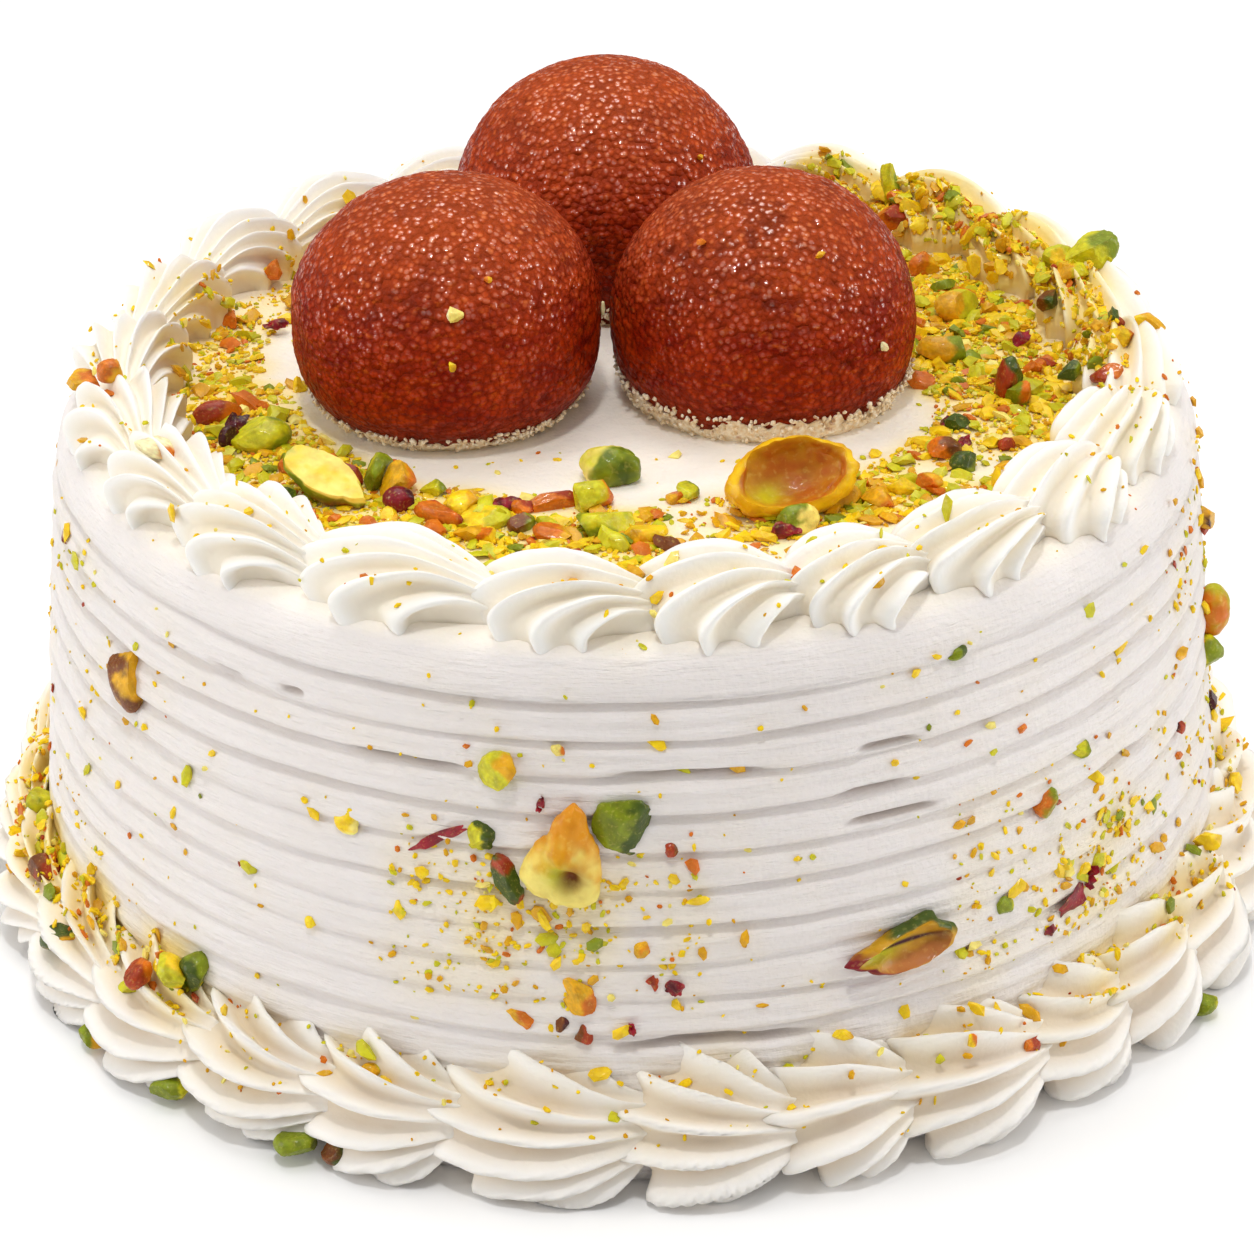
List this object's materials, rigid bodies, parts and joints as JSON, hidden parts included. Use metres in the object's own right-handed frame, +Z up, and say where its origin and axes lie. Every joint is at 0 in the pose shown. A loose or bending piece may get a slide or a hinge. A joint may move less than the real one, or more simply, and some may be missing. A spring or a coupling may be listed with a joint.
{
  "type": "gulab jamun cake",
  "caption": "Round white cream cake with a combed side, piped shell borders, gulab jamuns on top and chopped pistachios.",
  "frame": {"origin": "middle of the flat underside, on the surface that the cake stands on", "axes": "+Z up, -Y towards the side that the picture shows, +X to its right"},
  "size_m": [0.1971, 0.1962, 0.1127],
  "materials": {
    "cream": "soft satin whipped cream",
    "piped_cream": "soft satin whipped cream, piped",
    "gulab_jamun": "pebbled fried crust with a syrup gloss",
    "pistachio": "satin nut flesh",
    "roasted_pistachio": "satin roasted nut flesh"
  },
  "bodies": {
    "root": {"cake_body": "cream", "gulab_jamun_left": "gulab_jamun", "gulab_jamun_right": "gulab_jamun", "gulab_jamun_back": "gulab_jamun", "rim_shell_01": "piped_cream", "rim_shell_02": "piped_cream", "rim_shell_03": "piped_cream", "rim_shell_04": "piped_cream", "rim_shell_05": "piped_cream", "rim_shell_06": "piped_cream", "rim_shell_07": "piped_cream", "rim_shell_08": "piped_cream", "rim_shell_09": "piped_cream", "rim_shell_10": "piped_cream", "rim_shell_11": "piped_cream", "rim_shell_12": "piped_cream", "rim_shell_13": "piped_cream", "rim_shell_14": "piped_cream", "rim_shell_15": "piped_cream", "rim_shell_16": "piped_cream", "rim_shell_17": "piped_cream", "rim_shell_18": "piped_cream", "rim_shell_19": "piped_cream", "rim_shell_20": "piped_cream", "rim_shell_21": "piped_cream", "rim_shell_22": "piped_cream", "foot_shell_01": "piped_cream", "foot_shell_02": "piped_cream", "foot_shell_03": "piped_cream", "foot_shell_04": "piped_cream", "foot_shell_05": "piped_cream", "foot_shell_06": "piped_cream", "foot_shell_07": "piped_cream", "foot_shell_08": "piped_cream", "foot_shell_09": "piped_cream", "foot_shell_10": "piped_cream", "foot_shell_11": "piped_cream", "foot_shell_12": "piped_cream", "foot_shell_13": "piped_cream", "foot_shell_14": "piped_cream", "foot_shell_15": "piped_cream", "foot_shell_16": "piped_cream", "foot_shell_17": "piped_cream", "foot_shell_18": "piped_cream", "foot_shell_19": "piped_cream", "foot_shell_20": "piped_cream", "foot_shell_21": "piped_cream", "foot_shell_22": "piped_cream", "foot_shell_23": "piped_cream", "foot_shell_24": "piped_cream", "foot_shell_25": "piped_cream", "foot_shell_26": "piped_cream", "foot_shell_27": "piped_cream", "foot_shell_28": "piped_cream", "golden_pistachio": "roasted_pistachio", "split_pistachio": "pistachio", "green_pistachio": "pistachio", "side_kernel": "roasted_pistachio", "side_half_kernel": "pistachio", "edge_kernel": "roasted_pistachio"}
  },
  "joints": []
}
